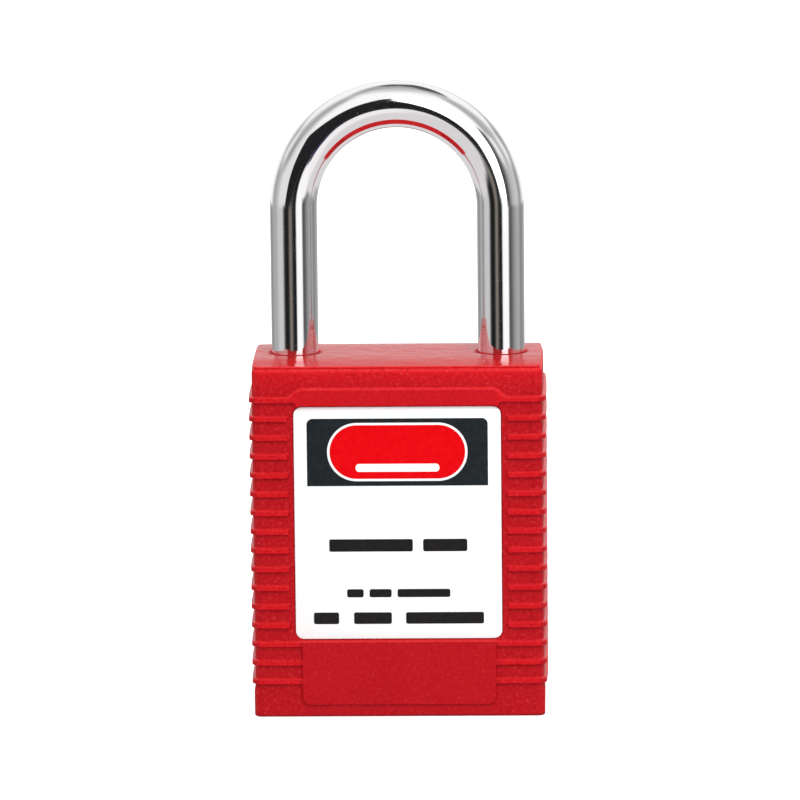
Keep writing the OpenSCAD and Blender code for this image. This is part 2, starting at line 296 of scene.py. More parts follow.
def nylon(name, relief=True):
    n = Net(name)
    x, y, z = n.xyz()
    ax, ay = n.math("ABSOLUTE", x), n.math("ABSOLUTE", y)
    geo = n.nt.nodes.new("ShaderNodeNewGeometry")
    nsep = n.nt.nodes.new("ShaderNodeSeparateXYZ")
    n.link(geo.outputs["True Normal"], nsep.inputs[0])
    up = n.ramp(nsep.outputs[2], 0.90, 0.985)
    grain = n.noise(2300, 3.0, 0.68)
    cloud = n.noise(150, 3.0, 0.55)
    fleck = n.noise(1500, 2.0, 0.5)
    # two copies of the one red: the first is painted shade for the flat faces and the valleys between ribs, the second
    # is painted light for the raised relief
    low = n.mix(n.ramp(cloud, 0.3, 0.7), (0.425, 0.0036, 0.0085, 1), (0.450, 0.0046, 0.0100, 1))
    lit_red = n.mix(n.ramp(cloud, 0.3, 0.7), (0.562, 0.0048, 0.0100, 1), (0.588, 0.0056, 0.0115, 1))
    base = low
    if relief:
        # painted light on the relief: the further the surface stands out from the flat face, the more of the paler red
        # it gets
        out = n.math("MAXIMUM", n.math("SUBTRACT", ay, D2 * MM), n.math("SUBTRACT", ax, (W2 - CROWN) * MM))
        relief_light = n.ramp(out, 0.00016, 0.00036)
        # in the middle column this painted light fades out downwards, so the raised bottom panel keeps the shaded red
        inner = n.math("SUBTRACT", 1.0, n.ramp(ax, 0.0124, 0.0130))
        keep = n.math("SUBTRACT", 1.0, n.math("MULTIPLY", inner, n.ramp(z, 0.039, 0.012, 0.40, 1.0)))
        relief_light = n.math("MULTIPLY", relief_light, keep)
        # painted light: the band under the top edge is painted paler, as if lit more from above
        brow_light = n.ramp(z, 0.0415, 0.0446, 0.0, 0.82)
        relief_light = n.math("MULTIPLY", relief_light, 0.92)
        fac = n.math("MAXIMUM", relief_light, brow_light)
        base = n.mix(fac, low, lit_red)
        # painted shade: faces that look straight up get a dimmer red of their own, to hold down the top where the light
        # from above falls
        base = n.mix(up, base, (0.455, 0.012, 0.014, 1))
        # painted contact shadow: the red darkens to near black along the bottom edge, where the body meets the floor
        foot = n.ramp(z, 0.00042, 0.00008, 0.0, 0.75)
        base = n.mix(foot, base, (0.20, 0.0030, 0.0050, 1))
    # painted highlight: edges that tilt upwards, such as the ribs' upper flanks, are painted paler where light from
    # above catches them
    flank_highlight = n.math("MULTIPLY", n.ramp(nsep.outputs[2], 0.15, 0.55, 0.0, 0.48), n.math("SUBTRACT", 1.0, up))
    base = n.mix(flank_highlight, base, (0.70, 0.030, 0.034, 1))
    spark = n.ramp(grain, 0.52, 0.74)
    dark = n.ramp(grain, 0.48, 0.26)
    side = n.math("SUBTRACT", 1.0, n.math("MULTIPLY", up, 0.8))
    amp = side
    if relief:
        amp = n.math("MULTIPLY", side, n.math("SUBTRACT", 1.0, n.math("MULTIPLY", inner, n.ramp(z, 0.0430, 0.0415, 0.0, 0.5))))
    base = n.mix(n.math("MULTIPLY", n.math("MULTIPLY", spark, 0.60), amp), base, (0.68, 0.044, 0.052, 1))
    base = n.mix(n.math("MULTIPLY", n.math("MULTIPLY", dark, 0.68), amp), base, (0.25, 0.0004, 0.0030, 1))
    rough = n.math("ADD", n.ramp(fleck, 0.3, 0.7, 0.27, 0.37), n.math("MULTIPLY", up, -0.18))
    ripple = n.noise(1.0, 2.0, 0.5, vec=n.coords((420, 520, 300)))
    flow = n.noise(60, 2.0, 0.5, stretch=(1.0, 1.0, 0.4))
    b = n.bump(flow, 0.25, 0.00006)
    b = n.bump(ripple, n.math("ADD", 0.06, n.math("MULTIPLY", up, 0.80)), 0.00014, b)
    b = n.bump(grain, n.math("MULTIPLY", side, 0.95), 0.00005, b)
    flank = n.ramp(n.math("ABSOLUTE", nsep.outputs[0]), 0.75, 0.96, 0.5, 0.06)
    return n.set(color=base, rough=rough, normal=b, ior=1.185, spec=flank)


def chrome():
    n = Net("plated_shackle_steel")
    wave = n.noise(1.0, 2.0, 0.5, vec=n.coords((260, 260, 170)))
    fine = n.noise(1.0, 2.0, 0.6, vec=n.coords((900, 900, 2600)))
    pits = n.ramp(n.voronoi(900), 0.045, 0.015)
    rare = n.ramp(n.noise(500, 1.0), 0.60, 0.66)
    spot = n.math("MULTIPLY", pits, rare)
    b = n.bump(wave, 0.5, 0.00001)
    b = n.bump(fine, 0.5, 0.0000012, b)
    b = n.bump(spot, 0.6, 0.00001, b)
    rough = n.ramp(n.noise(420, 3.0), 0.35, 0.7, 0.045, 0.075)
    rough = n.math("ADD", rough, n.math("MULTIPLY", spot, 0.15))
    col = n.mix(n.ramp(n.noise(160, 2.0), 0.3, 0.7), (0.822, 0.817, 0.826, 1), (0.838, 0.834, 0.840, 1))
    return n.set(color=col, rough=rough, metal=1.0, normal=b)


def vinyl(name, color, tint=0.03, rough=0.38, ior=1.46):
    n = Net(name)
    f = n.noise(1500, 3.0)
    c2 = tuple(min(1.0, c * (1 + tint) + 0.002) for c in color[:3]) + (1.0,)
    c1 = tuple(c * (1 - tint) for c in color[:3]) + (1.0,)
    col = n.mix(n.ramp(f, 0.3, 0.7), c1, c2)
    r = n.ramp(n.noise(600, 2.0), 0.3, 0.7, rough - 0.04, rough + 0.05)
    b = n.bump(n.noise(3000, 2.0), 0.12, 0.00001)
    return n.set(color=col, rough=r, normal=b, ior=ior)


def metal(name, dark, light, rough=(0.25, 0.4), scale=300.0, stretch=None, bump=0.3, depth=0.00001, fine=2500.0,
          rings=None, metallic=1.0, spots=None):
    n = Net(name)
    mott = n.noise(scale, 4.0, 0.6, stretch=stretch)
    col = n.mix(n.ramp(mott, 0.3, 0.7), dark, light)
    grain = n.noise(fine, 3.0, 0.6, stretch=stretch)
    if spots is not None:
        s = n.ramp(n.noise(scale * 2.3, 3.0, 0.6), 0.56, 0.68)
        col = n.mix(n.math("MULTIPLY", s, 0.6), col, spots)
    b = n.bump(grain, bump, depth)
    if rings is not None:
        x, y, z = n.xyz()
        rr = n.math("SQRT", n.math("ADD", n.math("MULTIPLY", x, x), n.math("MULTIPLY", y, y)))
        w = n.math("SINE", n.math("MULTIPLY", rr, rings))
        b = n.bump(w, 0.35, 0.000004, b)
    r = n.ramp(n.noise(scale * 1.7, 3.0), 0.3, 0.7, rough[0], rough[1])
    return n.set(color=col, rough=r, metal=metallic, normal=b)


M = {
    "red_nylon": nylon("red_nylon"),
    "red_nylon_cover": nylon("red_nylon_cover", relief=False),
    "chrome": chrome(),
    "label_white": vinyl("label_white", (0.93, 0.93, 0.925, 1), 0.012, 0.36),
    "label_back_white": vinyl("label_back_white", (0.90, 0.90, 0.89, 1), 0.015, 0.45),
    "ink_charcoal": vinyl("ink_charcoal", rgb(24, 30, 34), 0.10, 0.34, 1.25),
    "ink_red": vinyl("ink_red", (0.72, 0.0, 0.0030, 1), 0.03, 0.36, 1.14),
    "ink_white": vinyl("ink_white", (0.93, 0.93, 0.925, 1), 0.01, 0.36),
    "ink_black": vinyl("ink_black", rgb(20, 17, 18), 0.10, 0.36, 1.28),
    "ink_grey": vinyl("ink_grey", rgb(120, 124, 128), 0.05, 0.42),
    "die_cast_zinc": metal("die_cast_zinc", (0.36, 0.36, 0.35, 1), (0.52, 0.52, 0.51, 1), (0.34, 0.5), 420, bump=0.4,
                           depth=0.00002, fine=1800, rings=14000),
    "zinc_plated_steel": metal("zinc_plated_steel", (0.50, 0.52, 0.55, 1), (0.66, 0.66, 0.62, 1), (0.22, 0.36), 500,
                               spots=(0.55, 0.50, 0.40, 1)),
    "machined_brass": metal("machined_brass", (0.62, 0.42, 0.16, 1), (0.80, 0.60, 0.27, 1), (0.20, 0.34), 380,
                            fine=2600, rings=22000, spots=(0.45, 0.29, 0.12, 1)),
    "brass_strip": metal("brass_strip", (0.66, 0.46, 0.19, 1), (0.78, 0.58, 0.28, 1), (0.24, 0.38), 300,
                         stretch=(1, 4, 0.2)),
    "pin_steel": metal("pin_steel", (0.55, 0.55, 0.56, 1), (0.70, 0.70, 0.71, 1), (0.18, 0.30), 700, stretch=(4, 1, 1)),
    "hardened_pin_steel": metal("hardened_pin_steel", (0.28, 0.27, 0.27, 1), (0.44, 0.43, 0.42, 1), (0.28, 0.42), 500,
                                stretch=(3, 1, 1)),
    "spring_steel": metal("spring_steel", (0.42, 0.42, 0.43, 1), (0.60, 0.60, 0.61, 1), (0.22, 0.36), 900),
    "ball_bearing_steel": metal("ball_bearing_steel", (0.62, 0.63, 0.65, 1), (0.74, 0.74, 0.76, 1), (0.06, 0.12), 300,
                                bump=0.1, depth=0.000002),
}


def paint(o, key):
    o.data.materials.clear()
    o.data.materials.append(M[key])
    return o


# ------------------------------------------------------------------ housing


def step(t):
    t = np.clip(t, 0, 1)
    return t * t * (3 - 2 * t)


def relief(x, z, face):
    """Height of the moulded relief over the flat face, in mm, at side coordinate x and height z."""
    h = 0.0
    half, flank = 0.46, 0.20
    ax = abs(x)
    for i, zc in enumerate(RIBS):
        v = half - abs(z - zc)
        if v <= 0 or (face and i >= 13 and ax < 12.3):
            continue
        if face and 1 <= i <= 12:
            u = ax - 13.76
            if u <= 0:
                continue
            rc = 0.22
            d = rc - math.hypot(rc - u, rc - v) if (u < rc and v < rc) else min(u, v)
        else:
            d = v
        h = max(h, RIB_H * float(step(d / flank)))
    if face:
        top = RIBS[0] + half
        zt = top + (42.42 - top) * float(step((14.15 - ax) / 2.0))
        zb = 39.3 + (RIBS[0] - half - 39.3) * float(step((ax - 12.3) / 0.8))
        slope = 1.0 if (ax < 12.15 or ax > 14.15) else 0.82
        d = min((zt - z) * slope / 1.4, z - zb)
        if ax < 14.3 and d > 0:
            h = max(h, RIB_H * float(step(d / flank)))
        u, v = 12.47 - ax, min(z - 1.45, RIBS[13] + half - z)
        if u > 0 and v > 0:
            rc = 1.2
            low = z - 1.45
            d = rc - math.hypot(rc - u, rc - low) if (u < rc and low < rc) else min(u, v)
            if d > 0:
                h = max(h, 0.36 * float(step(d / flank)))
        # witness line where the side slide of the mould met the front
        h = min(RIB_H, h + 0.055 * max(0.0, 1.0 - abs(ax - 17.26) / 0.085))
    return h


def housing():
    xs = [2.5, 5, 7.5, 9.5, 10.8, 11.2, 11.35, 11.5, 11.65, 11.8, 11.92, 12.04, 12.14, 12.22, 12.27, 12.31, 12.35,
          12.39, 12.43, 12.47, 12.52, 12.6, 12.72, 12.84, 12.96, 13.08, 13.2, 13.32, 13.44, 13.56, 13.66, 13.72,
          13.76, 13.80, 13.84, 13.88, 13.92, 13.97, 14.03, 14.1, 14.18, 14.3, 14.8, 15.6, 16.6, 17.175, 17.26, 17.345,
          W2 - 1.0 - CROWN]
    xs = [-x for x in reversed(xs)] + [0.0] + xs
    cols = []                      # (x, y, nx, ny, side coordinate, on a broad face)
    for x in xs:
        cols.append((x, -D2, 0.0, -1.0, x, True))
    k = 9
    wc = W2 - 1 - CROWN
    for i in range(1, k):
        a = math.radians(-90 + 90 * i / k)
        cols.append((wc + math.cos(a), -D2 + 1 + math.sin(a), math.cos(a), math.sin(a), 0.0, False))
    ys = [-(D2 - 1), -7.4, -BAND, -3.6, -1.8, 0.0, 1.8, 3.6, BAND, 7.4, D2 - 1]
    for y in ys:
        cols.append((W2 - CROWN * (y / (D2 - 1)) ** 2, y, 1.0, 0.0, 0.0, False))
    for i in range(1, k):
        a = math.radians(90 * i / k)
        cols.append((wc + math.cos(a), D2 - 1 + math.sin(a), math.cos(a), math.sin(a), 0.0, False))
    for x in reversed(xs):
        cols.append((x, D2, 0.0, 1.0, x, True))
    for i in range(1, k):
        a = math.radians(90 + 90 * i / k)
        cols.append((-wc + math.cos(a), D2 - 1 + math.sin(a), math.cos(a), math.sin(a), 0.0, False))
    for y in reversed(ys):
        cols.append((-W2 + CROWN * (y / (D2 - 1)) ** 2, y, -1.0, 0.0, 0.0, False))
    for i in range(1, k):
        a = math.radians(180 + 90 * i / k)
        cols.append((-wc + math.cos(a), -D2 + 1 + math.sin(a), math.cos(a), math.sin(a), 0.0, False))

    zs = set()
    for zc in RIBS:
        for d in (0.62, 0.5, 0.46, 0.42, 0.38, 0.34, 0.30, 0.26, 0.18):
            zs.add(round(zc - d, 4))
            zs.add(round(zc + d, 4))
        zs.add(round(zc, 4))
    zs |= {round(v, 4) for v in np.arange(41.52, 42.56, 0.07)}
    zs |= {round(v, 4) for v in np.arange(1.50, 2.9, 0.09)}
    zs |= {3.2, 3.6, 10.6, 11.0, 42.9, 43.4}
    zs |= {43.9, 44.2}
    zs = sorted(v for v in zs if 0.45 < v < H - 1.2)
    keep = [zs[0]]
    for v in zs[1:]:
        if v - keep[-1] > 0.025:
            keep.append(v)
    foot_r = 0.25
    rows = [(0.0, foot_r + 0.10)]
    for i in range(6):
        a = math.radians(90 - 90 * i / 5)
        rows.append((foot_r - foot_r * math.sin(a), foot_r - foot_r * math.cos(a)))
    rows += [(0.45, 0.0)] if keep[0] > 0.5 else []
    rows += [(z, 0.0) for z in keep]
    # fine line under the top edge, then the rounded edge itself
    for d, e in ((1.00, 0.0), (0.82, 0.015), (0.66, 0.05), (0.54, 0.10), (0.44, 0.16), (0.37, 0.21), (0.31, 0.25),
                 (0.27, 0.27), (0.23, 0.22), (0.17, 0.19), (0.10, 0.20), (0.05, 0.23), (0.015, 0.28)):
        rows.append((H - d, -e))
    rows.append((H, 0.36))
    rings = []
    for z, e in rows:
        ring = []
        full = 1.0 - float(step((z - 3.3) / 1.0))
        for x, y, nx, ny, s, face in cols:
            if abs(x) > 17.3 and not face:
                x += math.copysign(CROWN * full * (abs(y) / (D2 - 1)) ** 2 if abs(y) < D2 - 1 else CROWN * full, x)
            h = relief(s, z, face) if e <= 0.0 and z < H - 0.4 else 0.0
            if e < 0:
                px, py = x + nx * e, y + ny * e
            else:
                px, py = x + nx * (h - e), y + ny * (h - e)
            drop = FALL * max(0.0, abs(py) - BAND) / (D2 - BAND) * min(1.0, max(0.0, (z - 43.0) / 1.5))
            ring.append((px, py, z - drop))
        rings.append(ring)
    # the top in three planes: level along the middle, falling to the front and back edges
    n = len(cols)
    v = [p for r in rings for p in r]
    f = [tuple(reversed(range(n)))]
    for k in range(len(rings) - 1):
        for i in range(n):
            j = (i + 1) % n
            f.append((k * n + i, k * n + j, (k + 1) * n + j, (k + 1) * n + i))
    last = (len(rings) - 1) * n
    bend = [i for i, c in enumerate(cols) if not c[5] and abs(abs(c[1]) - BAND) < 1e-6 and c[2] != 0]
    r0, r1, l1, l0 = bend
    f.append(tuple(last + i for i in list(range(0, r0 + 1)) + list(range(l0, n))))
    f.append(tuple(last + i for i in list(range(r0, r1 + 1)) + list(range(l1, l0 + 1))))
    f.append(tuple(last + i for i in range(r1, l1 + 1)))
    o = make("housing", v, f)

    cuts = []
    # label windows, front and back
    for s in (-1, 1):
        out = rrect(LAB_HW + 0.12, LAB_HH + 0.12, 1.17, 14, 0.0, LAB_Z)
        floor = D2 - 0.3
        prof = [(floor, 0.0), (D2 - 0.06, 0.0), (D2 + 0.02, 0.05), (D2 + 0.9, 0.05)]
        rings = []
        for y, g in prof:
            pts = rrect(LAB_HW + 0.12 + g, LAB_HH + 0.12 + g, 1.17 + g, 14, 0.0, LAB_Z)
            rings.append([(px, s * y, pz) for px, pz in pts])
        cuts.append(ring_solid("cut_window", rings if s > 0 else list(reversed(rings))))
    # leg bores with coned lead-ins, their top edges just broken
    rim = [(3.08, H - 0.52), (3.10, H - 0.47), (3.40, H - 0.09), (3.45, H - 0.035), (3.52, H), (3.56, H + 0.02)]
    for x, z0 in ((-LEG_X, 8.0), (LEG_X, 34.7)):
        cuts.append(lathe("cut_bore", [(3.08, z0)] + rim + [(3.56, H + 0.6)], 128, x))
    cuts.append(lathe("cut_cavity", [(6.6, 1.0), (6.6, 42.6)], 96))
    cuts.append(lathe("cut_bearing", [(2.06, 42.0), (2.06, 43.9)], 64))
    cuts.append(block("cut_tower", 0.0, 15.8, -3.18, 3.18, 1.0, 28.7))
    cuts.append(lathe("cut_nose", [(7.28, -1.0), (7.28, 3.4)], 128))
    reb = [[(a, b, z) for a, b in rrect(16.8 + g, 7.9 + g, 1.05 + g, 8)]
           for z, g in ((-1.0, 0.12), (0.0, 0.12), (0.12, 0.0), (2.5, 0.0))]
    cuts.append(ring_solid("cut_rebate", reb))
    cuts.append(shift(along_x(lathe("cut_channel", [(3.05, -LEG_X), (3.05, LEG_X)], 96)), z=BALL_Z))
    cuts.append(shift(along_x(lathe("cut_pin", [(1.2, -LEG_X + 2), (1.2, -5.1)], 48)), z=33.6))
    cuts.append(lathe("cut_way", [(1.65, 28.0), (1.65, 32.0)], 64, LEG_X))
    cuts.append(lathe("cut_head", [(2.8, 31.45), (2.8, 35.45)], 64, LEG_X))
    for c in cuts:
        fix_normals(c)
    fix_normals(o)
    fuse(o, cuts)
    finish_mesh(o, 35)
    crisp(o, lambda a, b: abs(a[2] - H) < 0.01 and abs(b[2] - H) < 0.01 and abs(abs(a[1]) - BAND) < 0.01
          and abs(abs(b[1]) - BAND) < 0.01)
    return o


def crisp(o, test):
    """Marks sharp the edges whose two ends, in mm, pass the test."""
    me = o.data
    att = me.attributes.get("sharp_edge") or me.attributes.new("sharp_edge", "BOOLEAN", "EDGE")
    co = [tuple(c / MM for c in v.co) for v in me.vertices]
    for e in me.edges:
        if test(co[e.vertices[0]], co[e.vertices[1]]):
            att.data[e.index].value = True


def fix_normals(o):
    """Turns a closed solid's faces outwards."""
    import bmesh  # noqa: PLC0415
    bm = bmesh.new()
    bm.from_mesh(o.data)
    bmesh.ops.recalc_face_normals(bm, faces=bm.faces)
    if bm.calc_volume(signed=True) < 0:
        bmesh.ops.reverse_faces(bm, faces=bm.faces)
    bm.to_mesh(o.data)
    bm.free()


body = paint(housing(), "red_nylon")
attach(body, "body")
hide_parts("body_shell")

# ------------------------------------------------------------- bottom cover


def cover():
    z0, z1, hw, hd, r = 0.5, 2.5, 16.75, 7.85, 1.0
    prof = [(z0, 0.22), (z0 + 0.04, 0.12), (z0 + 0.12, 0.04), (z0 + 0.24, 0.0), (z1 - 0.1, 0.0), (z1, 0.1)]
    rings = [[(a, b, z) for a, b in rrect(hw - g, hd - g, r - g * 0.9, 10)] for z, g in prof]
    rings.insert(0, [(a, b, z0) for a, b in rrect(hw - 0.30, hd - 0.30, r - 0.27, 10)])
    o = ring_solid("bottom_cover_moulding", rings)
    cuts = [lathe("cut_hole", [(7.60, z0 - 0.5), (7.60, z0), (7.50, z0 + 0.03), (7.38, z0 + 0.12), (7.31, z0 + 0.22),
                               (7.28, z0 + 0.34), (7.28, z1 + 1)], 128)]
    for x in (-13.2, 13.2):
        for y in (-5.0, 5.0):
            cuts.append(lathe("cut_ejector", [(1.15, z0 - 0.5), (1.15, z0), (1.05, z0 + 0.08)], 40, x, y))
    # shallow sunk field left and right of the cylinder
    for s in (-1, 1):
        rings = [[(a, b, z) for a, b in rrect(1.55 + g, 5.9 + g, 0.6 + g, 8, s * 10.2, 0.0)]
                 for z, g in ((z0 - 0.5, 0.12), (z0, 0.12), (z0 + 0.15, 0.0))]
        cuts.append(ring_solid("cut_field", rings))
    for c in cuts + [o]:
        fix_normals(c)
    fuse(o, cuts)
    return finish_mesh(o, 35)


cov = paint(cover(), "red_nylon_cover")
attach(cov, "body")
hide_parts("bottom_cover")

# ------------------------------------------------------------------ shackle


def shackle():
    n = 128
    rings = []

    def ring(cx, cz, tx, tz, r):
        """Ring of radius r round the centre, at right angles to the run direction (tx, tz)."""
        pts = []
        for i in range(n):
            a = 2 * math.pi * i / n
            u, v = math.cos(a), math.sin(a)
            pts.append((cx + r * u * tz, r * v, cz - r * u * tx))
        return pts

    for f, r in ((0.0, ROD_R - 0.40), (0.03, ROD_R - 0.28), (0.10, ROD_R - 0.16), (0.22, ROD_R - 0.05), (0.40, ROD_R)):
        rings.append(ring(-LEG_X, HEEL_Z + f, 0, 1, r))
    for z in (20.5, 22, 24, 28, 32, 36, 40, 44, 48, 52, 56, 60):
        rings.append(ring(-LEG_X, z, 0, 1, ROD_R))
    k = 144
    for i in range(k + 1):
        a = math.pi * (1 - i / k)
        rings.append(ring(LEG_X * math.cos(a), CROWN_Z + LEG_X * math.sin(a), math.sin(a), -math.cos(a), ROD_R))
    for z in (60, 56, 52, 48, 44, 40):
        rings.append(ring(LEG_X, z, 0, -1, ROD_R))
    for f, r in ((0.80, ROD_R), (0.42, ROD_R - 0.08), (0.18, ROD_R - 0.28), (0.05, ROD_R - 0.50), (0.0, ROD_R - 0.72)):
        rings.append(ring(LEG_X, TOE_Z + f, 0, -1, r))
    o = ring_solid("shackle_rod", rings)
    cuts = []
    for s in (-1, 1):
        ball = []
        for j in range(1, 48):
            t = math.pi * j / 48
            ball.append((3.08 * math.sin(t), BALL_Z - 3.08 * math.cos(t)))
        cuts.append(lathe("cut_seat", ball, 96, s * 8.4))
    cuts.append(block("cut_flat", -11.5, -7.0, -4, 4, 21.35, 35.05))
    cuts.append(tube_ring("cut_groove", [(1.65, 21.35), (4.0, 21.35), (4.0, 23.9), (1.65, 23.9)], 96, -LEG_X))
    for c in cuts + [o]:
        fix_normals(c)
    fuse(o, cuts)
    return finish_mesh(o, 30, weighted=False)


sh = paint(shackle(), "chrome")
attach(sh, "shackle")
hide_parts("shackle")

# ------------------------------------------------------------------- labels


def plate(name, outline, y0, y1, sgn, key, bevel=None):
    """A thin plate on a broad face: outline(g) gives the outline shrunk by g, y0 and y1 are distances from the middle."""
    prof = [(y0, 0.0), (y1, 0.0)] if not bevel else [(y0, 0.0), (y1 - bevel, 0.0), (y1 - 0.3 * bevel, 0.3 * bevel),
                                                     (y1, bevel)]
    rings = [[(x, sgn * y, z) for x, z in outline(g)] for y, g in prof]
    o = ring_solid(name, rings)
    fix_normals(o)
    finish_mesh(o, 30, weighted=False)
    return paint(o, key)


def rr(hw, z0, z1, r, cx=0.0, seg=10):
    hh, zc = (z1 - z0) / 2, (z1 + z0) / 2
    return lambda g: rrect(hw - g, hh - g, max(r - g, 0.001), seg, cx, zc)


def header(hw, z0, z1, r):
    def f(g):
        pts = []
        for sx, a0 in ((1, 0), (-1, 90)):
            for k in range(9):
                a = math.radians(a0 + 90 * k / 8)
                pts.append((sx * (hw - r) + r * math.cos(a), z1 - r + r * math.sin(a)))
        return pts + [(-hw, z0), (hw, z0)]
    return f


def label(side):
    s = -1 if side == "front" else 1
    node = "label_" + side
    base = plate(node + "_plate", rr(LAB_HW, LAB_Z - LAB_HH, LAB_Z + LAB_HH, 1.05, seg=14), LAB_Y0, LAB_Y, s,
                 "label_white" if side == "front" else "label_back_white", 0.05)
    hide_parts(node)
    inks = []
    f = LAB_Y
    if side == "front":
        inks.append(plate("front_header", header(11.45, 29.8, 38.45, 0.75), f, f + 0.012, s, "ink_charcoal"))
        inks.append(plate("front_pill_rim", rr(8.88, 30.42, 37.90, 3.74, seg=24), f, f + 0.022, s, "ink_white"))
        inks.append(plate("front_pill", rr(8.58, 30.72, 37.60, 3.44, seg=24), f, f + 0.032, s, "ink_red"))
        inks.append(plate("front_pill_bar", rr(5.3, 31.62, 32.64, 0.45, seg=8), f, f + 0.042, s, "ink_white"))
        for name, x0, x1, z0, z1, key in (
                ("front_line_a1", -8.75, 1.85, 21.35, 22.95, "ink_black"),
                ("front_line_a2", 3.15, 8.75, 21.35, 22.95, "ink_black"),
                ("front_line_b1", -6.55, -4.45, 15.45, 16.50, "ink_black"),
                ("front_line_b2", -3.7, -0.9, 15.45, 16.50, "ink_black"),
                ("front_line_b3", -0.15, 6.55, 15.45, 16.50, "ink_black"),
                ("front_line_c1", -10.8, -7.6, 12.00, 13.50, "ink_black"),
                ("front_line_c2", -5.7, -0.9, 12.00, 13.50, "ink_black"),
                ("front_line_c3", 0.9, 10.8, 12.00, 13.50, "ink_black")):
            inks.append(plate(name, rr((x1 - x0) / 2, z0, z1, 0.25, (x0 + x1) / 2, 5), f, f + 0.012, s, key))
    else:
        inks.append(plate("back_band", header(11.45, 35.4, 38.45, 0.75), f, f + 0.012, s, "ink_red"))
        for i, z in enumerate((31.2, 27.0, 22.8, 18.6, 14.4)):
            inks.append(plate("back_rule_%d" % (i + 1), rr(11.0, z, z + 0.16, 0.05, 0.0, 3), f, f + 0.012, s, "ink_grey"))
    for o in [base] + inks:
        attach(o, "body")


label("front")
label("back")

# ------------------------------------------------------------------- spring


def spring():
    rm, wr, z0, z1, x = 2.2, 0.36, 8.82, 18.98, -LEG_X
    turns, seg, m = 7.0, 48, 16
    n = int(turns * seg)
    dead = 0.9
    rings, pitch0 = [], 2 * wr + 0.02

    def height(t):
        """Height of the wire's centre at turn t: closed coils at both ends, open ones between."""
        free = (z1 - z0 - 2 * wr) - 2 * pitch0 * dead
        mid = turns - 2 * dead
        if t < dead:
            return pitch0 * t
        if t > turns - dead:
            return (z1 - z0 - 2 * wr) - pitch0 * (turns - t)
        u = (t - dead) / mid
        s = u + 0.0 * math.sin(2 * math.pi * u)
        return pitch0 * dead + free * s

    for i in range(n + 1):
        t = turns * i / n
        a = 2 * math.pi * t
        c, s = math.cos(a), math.sin(a)
        zc = z0 + wr + height(t)
        ring = []
        for j in range(m):
            b = 2 * math.pi * j / m
            zz = zc + wr * math.sin(b)
            zz = min(max(zz, z0 + 0.0), z1)
            rr_ = rm + wr * math.cos(b)
            ring.append((x + rr_ * c, rr_ * s, zz))
        rings.append(ring)
    o = ring_solid("return_spring", rings)
    fix_normals(o)
    return finish_mesh(o, 40, weighted=False)


spr = paint(spring(), "spring_steel")
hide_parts("shackle_spring")
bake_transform(spr)

# ---------------------------------------------- carried-over CAD nodes' looks
LOOKS = {
    "spring_seat": "zinc_plated_steel", "heel_retaining_pin": "hardened_pin_steel",
    "ball_heel": "ball_bearing_steel", "ball_toe": "ball_bearing_steel",
    "cam": "die_cast_zinc", "cylinder_barrel": "die_cast_zinc", "plug": "machined_brass",
    "plug_clip": "spring_steel", "chamber_strip": "brass_strip", "barrel_retaining_screw": "zinc_plated_steel",
}
for i in range(1, 7):
    LOOKS["key_pin_%d" % i] = "machined_brass"
    LOOKS["driver_pin_%d" % i] = "pin_steel"
    LOOKS["pin_spring_%d" % i] = "spring_steel"
BEVEL = {"cam": 0.10, "cylinder_barrel": 0.08, "plug": 0.07, "plug_clip": 0.06, "spring_seat": 0.08,
         "heel_retaining_pin": 0.08, "chamber_strip": 0.06, "barrel_retaining_screw": 0.07,
         **{"key_pin_%d" % i: 0.05 for i in range(1, 7)}, **{"driver_pin_%d" % i: 0.08 for i in range(1, 7)}}
for name, key in LOOKS.items():
    o = nodes[name]
    paint(o, key)
    if name in BEVEL:
        w = o.modifiers.new("weld", "WELD")
        w.merge_threshold = 0.000002
        b = o.modifiers.new("edges", "BEVEL")
        b.width = BEVEL[name] * MM
        b.segments = 2
        b.limit_method = "ANGLE"
        b.angle_limit = math.radians(40)
        b.use_clamp_overlap = True
        b.harden_normals = False

# -------------------------------------------------------------------- studio


